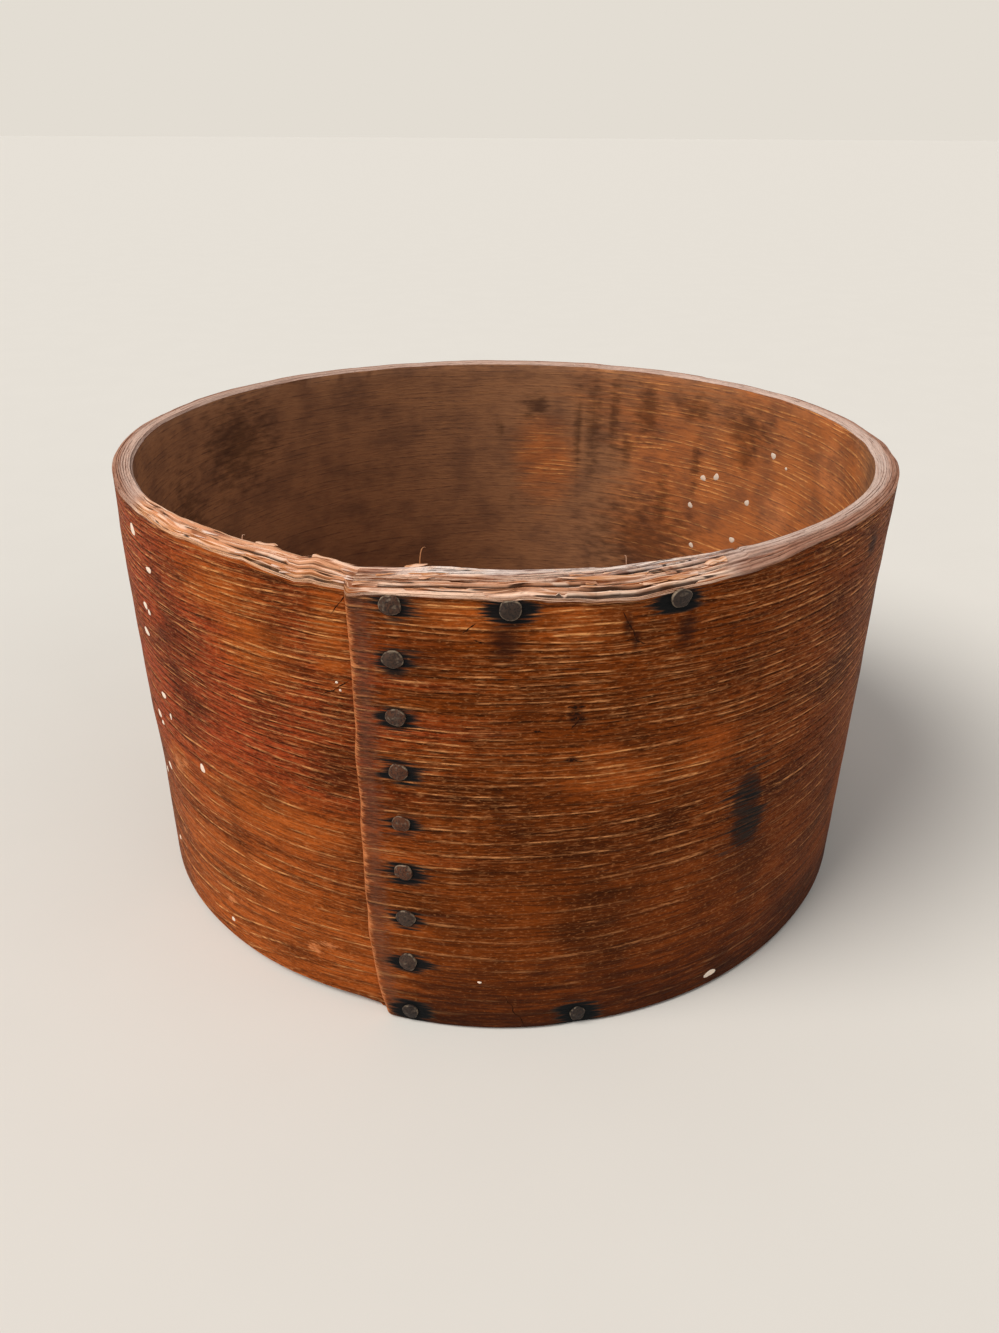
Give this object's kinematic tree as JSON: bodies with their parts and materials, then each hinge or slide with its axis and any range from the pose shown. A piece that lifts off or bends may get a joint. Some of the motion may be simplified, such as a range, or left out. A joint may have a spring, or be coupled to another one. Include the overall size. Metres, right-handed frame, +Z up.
{
  "type": "grain measure",
  "caption": "Round bentwood dry measure: one wide wooden strip bent into a hoop, its lapped ends nailed down a seam, with a flat round base board nailed inside its lower edge.",
  "frame": {"origin": "centre of the base board's underside, on the ground", "axes": "+Z up through the open mouth; the nailed seam faces -Y, a little to the left of the front"},
  "size_m": [0.2278, 0.2295, 0.128],
  "materials": {
    "bentwood": "worn varnish over reddish-brown open-grained wood",
    "board": "bare, aged brown wood",
    "nail_iron": "dark, lightly rusted iron"
  },
  "bodies": {
    "root": {"hoop": "bentwood", "base_board": "board", "lap_nail_1": "nail_iron", "lap_nail_2": "nail_iron", "lap_nail_3": "nail_iron", "lap_nail_4": "nail_iron", "lap_nail_5": "nail_iron", "lap_nail_6": "nail_iron", "lap_nail_7": "nail_iron", "rim_nail_1": "nail_iron", "rim_nail_2": "nail_iron", "rim_nail_3": "nail_iron", "base_nail_1": "nail_iron", "base_nail_2": "nail_iron", "base_nail_3": "nail_iron", "base_nail_4": "nail_iron", "base_nail_5": "nail_iron", "base_nail_6": "nail_iron"}
  },
  "joints": []
}
